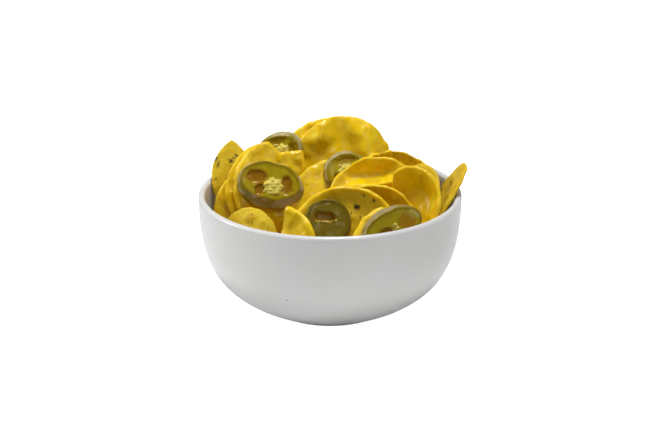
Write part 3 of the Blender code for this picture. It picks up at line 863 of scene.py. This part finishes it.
# Height of the heap's top over a place: nearby points of the solid, nearest counting most.
def heapTop(x, y):
    flat = np.stack((np.ravel(x), np.ravel(y)), -1)
    away = ((flat[:, None, :] - hiddenTop[None, :, :2]) ** 2).sum(-1) + 0.5
    weight = away**-2.0
    return ((weight * hiddenTop[:, 2]).sum(1) / weight.sum(1)).reshape(np.shape(x))


# How far out the bowl's inside lies at a height.
def wallRadius(z):
    inside = bowlInside(bowl["steps"])[::-1]
    return np.interp(z, inside[:, 1], inside[:, 0]) - beneath["clear"]


# Chips on a spiral, each tilted its own way, then lowered until the whole of it is under the heap's top
# and moved in until it is clear of the bowl. Where a whole chip finds no room, a smaller piece lies there.
def makeBeneath():
    random = np.random.default_rng(5)
    grids, scorch, blister, rim = [], [], [], []
    for number in range(beneath["count"]):
        around = number * 137.5
        far = beneath["spread"] * math.sqrt((number + 0.5) / beneath["count"])
        name = "beneath%d" % number
        chipSeeds[name] = 900 + 13 * number
        at = (far * math.sin(math.radians(around)), -far * math.cos(math.radians(around)), 60.0)
        facing = (around + random.uniform(-50, 50), random.uniform(*beneath["lean"]))
        for half in beneath["halves"]:
            chip = dict(at=at, facing=facing, half=(half, 0.96 * half), cup=(-2.0, -1.5))
            grid, u, v, share, side, bumps = chipShell(name, chip, scale=0.6)
            for step in range(12):
                grid[..., 2] += (heapTop(grid[..., 0], grid[..., 1]) - grid[..., 2]).min()
                over = np.hypot(grid[..., 0], grid[..., 1]) - wallRadius(grid[..., 2])
                if over.max() <= 0:
                    break
                worst = grid[np.unravel_index(np.argmax(over), over.shape)][:2]
                grid[..., :2] -= worst / np.linalg.norm(worst) * (over.max() + 0.1)
            fits = over.max() <= 0.1 and grid[..., 2].min() > bowl["floor"] + 1
            if fits:
                break
        if not fits:
            continue
        grids.append(grid)
        scorch.append(withPoles(scorchOf(name, chip, u, v, side)))
        blister.append(withPoles(bumps))
        rim.append(withPoles(ease(share, 0.82, 1.0)))
    attributes = {"scorch": np.concatenate(scorch), "blister": np.concatenate(blister), "rim": np.concatenate(rim)}
    return gridMesh("fine_chips_beneath", grids, attributes=attributes)


# The core: the heap's own form drawn in on every side, its top lumpy.
def makeCore():
    columns, rows = beneath["columns"], beneath["rows"]
    angle = np.arange(columns) / columns * math.tau
    share = np.linspace(0.04, 1.0, rows)[:, None]
    wide = wallRadius(40.0) - 1.0
    x, y = share * wide * np.cos(angle), share * wide * np.sin(angle)
    z = heapTop(x, y) - beneath["top"] + beneath["lump"] * ripples(np.stack((x, y), -1), 14.0, 71)
    low = bowl["floor"] + 1.0
    z = np.maximum(z - 6.0 * share**6, low + 3.0)
    far = np.minimum(share * wide, wallRadius(z) - 1.0)
    top = np.stack((far * np.cos(angle), far * np.sin(angle), z), -1)
    down = np.linspace(0.0, 1.0, 10)[1:, None]
    z = top[-1:, :, 2] + (low - top[-1:, :, 2]) * down
    r = np.minimum(wallRadius(z) - 1.0, wide)
    side = np.stack((r * np.cos(angle), r * np.sin(angle), z), -1)
    return gridMesh("sauce_core", [np.concatenate((top, side))])


addPiece("fine_chips_beneath", makeBeneath(), corn, "chip", "chips_beneath")
core = makeCore()
# The core's coat is set below nought so that it takes the thin coat's brown in patches: painted shade for the crevices
# between chips where it shows.
setAttribute(core, "coat", np.full(len(core.vertices), -0.2))
addPiece("sauce_core", core, cheese, "cheese", "chips_beneath")
print("heap beneath made")


studio = {
    "cameraAt": (0.0, -0.7480, 0.3339), "lookAt": (0.0, 0.0, 0.05025), "lens": 75.93,
    "floor": (0.90, 0.90, 0.90), "above": 0.16, "level": 0.25,
    "lights": {
        "overhead": dict(at=(0.10, 0.03, 1.18), size=0.30, watts=10.0),
        "side": dict(at=(-0.94, 0.12, 0.58), size=0.40, watts=4.9),
        "front": dict(at=(0.46, -1.00, 0.84), size=0.26, watts=2.0),
    },
}


def makeStudio():
    mesh = bpy.data.meshes.new("floor")
    mesh.from_pydata([(-4, -3, 0), (4, -3, 0), (4, 5, 0), (-4, 5, 0)], [], [(0, 1, 2, 3)])
    floor = bpy.data.objects.new("floor", mesh)
    bpy.context.scene.collection.objects.link(floor)
    made, tree, shader = newMaterial("floorWhite")
    shader.inputs["Base Color"].default_value = (*studio["floor"], 1.0)
    shader.inputs["Roughness"].default_value = 0.8
    seen = addNode(tree, "ShaderNodeLightPath").outputs["Is Camera Ray"]
    shader.inputs["Emission Color"].default_value = (1, 1, 1, 1)
    tree.links.new(seen, shader.inputs["Emission Strength"])
    mesh.materials.append(made)
    world = bpy.data.worlds.new("studio")
    world.use_nodes = True
    tree = world.node_tree
    direction = addNode(tree, "ShaderNodeTexCoord").outputs["Generated"]
    height = addNode(tree, "ShaderNodeSeparateXYZ", {"Vector": direction}).outputs["Z"]
    strength = between(tree, height, 0.0, 0.9, studio["level"], studio["above"])
    background = tree.nodes["Background"]
    background.inputs["Color"].default_value = (1.0, 1.0, 1.0, 1.0)
    seen = addNode(tree, "ShaderNodeLightPath").outputs["Is Camera Ray"]
    tree.links.new(calculate(tree, "MAXIMUM", strength, seen), background.inputs["Strength"])
    bpy.context.scene.world = world
    for name, values in studio["lights"].items():
        light = bpy.data.lights.new(name, "AREA")
        light.size = values["size"]
        light.energy = values["watts"]
        lamp = bpy.data.objects.new(name, light)
        lamp.location = values["at"]
        aim = Vector((0, 0, 0.05)) - lamp.location
        lamp.rotation_euler = aim.to_track_quat("-Z", "Y").to_euler()
        bpy.context.scene.collection.objects.link(lamp)
    camera = bpy.data.objects.new("camera", bpy.data.cameras.new("camera"))
    camera.data.lens = studio["lens"]
    camera.location = studio["cameraAt"]
    aim = Vector(studio["lookAt"]) - camera.location
    camera.rotation_euler = aim.to_track_quat("-Z", "Y").to_euler()
    bpy.context.scene.collection.objects.link(camera)
    bpy.context.scene.camera = camera
    bpy.context.scene.view_settings.view_transform = "Standard"
    bpy.context.scene.view_settings.look = "None"


makeStudio()
print("studio made")
